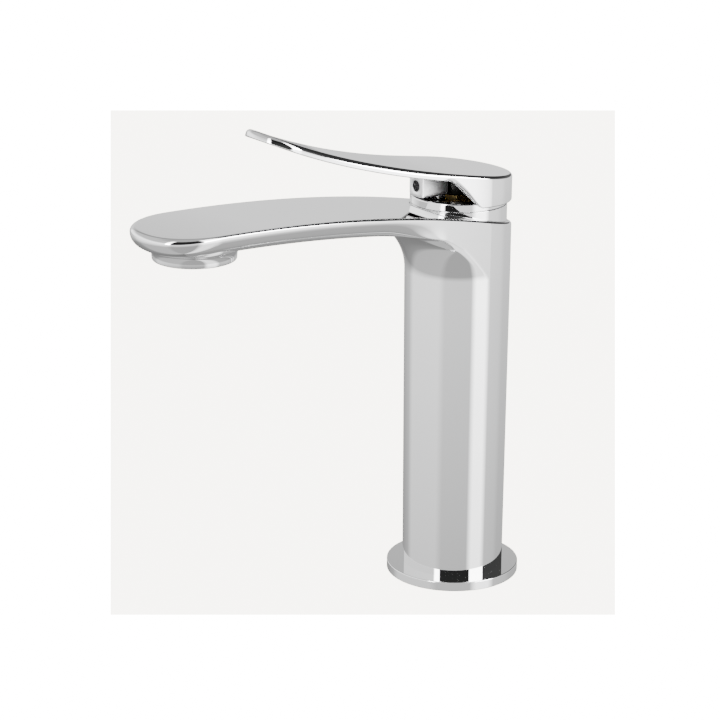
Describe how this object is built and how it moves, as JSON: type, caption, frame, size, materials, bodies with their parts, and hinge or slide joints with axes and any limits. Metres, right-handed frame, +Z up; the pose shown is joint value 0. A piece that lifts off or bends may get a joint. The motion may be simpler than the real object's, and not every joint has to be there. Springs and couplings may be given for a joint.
{
  "type": "basin mixer faucet",
  "caption": "Lever-operated basin mixer with a tall round column, a long flat spout and a tapering blade lever, with its cartridge and aerator.",
  "frame": {"origin": "centre of the flange's underside, on the deck's top face", "axes": "+Z up along the column, the spout and the lever point along -Y, X across"},
  "size_m": [0.0586, 0.189, 0.2147],
  "materials": {
    "chrome": "polished chrome plate",
    "flange_chrome": "polished chrome plate",
    "lever_chrome": "polished chrome plate",
    "ring_chrome": "polished chrome plate",
    "aerator_chrome": "polished chrome plate",
    "brass": "machined",
    "steel": "ground",
    "screw_steel": "dark",
    "rubber": "matt",
    "cartridge_plastic": "moulded",
    "rotor_plastic": "moulded",
    "carrier_plastic": "moulded",
    "limit_plastic": "moulded",
    "slip_plastic": "moulded",
    "screen_plastic": "moulded",
    "regulator_plastic": "moulded",
    "disc_ceramic": "lapped"
  },
  "bodies": {
    "faucet_body": {"body": "chrome", "base_flange": "flange_chrome", "base_gasket": "rubber", "cartridge_base": "cartridge_plastic", "port_seals": "rubber", "disc_seals": "rubber", "fixed_disc": "disc_ceramic", "cartridge_housing": "cartridge_plastic", "housing_seal": "rubber", "retaining_nut": "brass", "slip_ring": "slip_plastic", "trim_ring": "ring_chrome", "dome_cover": "ring_chrome", "aerator_housing": "aerator_chrome", "aerator_screen": "screen_plastic", "aerator_diffuser": "screen_plastic", "flow_regulator": "regulator_plastic", "aerator_gasket": "rubber"},
    "rotor": {"cartridge_rotor": "rotor_plastic", "stem_pin": "steel", "limit_ring": "limit_plastic"},
    "lever": {"lever_handle": "lever_chrome", "stem": "brass", "set_screw": "screw_steel"},
    "disc": {"moving_disc": "disc_ceramic", "disc_carrier": "carrier_plastic"}
  },
  "joints": [
    {"name": "lever_swing", "type": "hinge", "parent": "faucet_body", "child": "rotor", "pos_m": [0, 0, 0.16], "axis": [0, 0, 1], "range_deg": [-45, 45]},
    {"name": "lever_lift", "type": "hinge", "parent": "rotor", "child": "lever", "pos_m": [0, 0, 0.16], "axis": [-1, 0, 0], "range_deg": [0, 20]},
    {"name": "disc_travel", "type": "slide", "parent": "rotor", "child": "disc", "axis": [0, -1, 0], "range_m": [0, 0.0045]}
  ],
  "couplings": [
    {"joint": "disc_travel", "follows": "lever_lift", "m_per_rad": 0.0123}
  ]
}
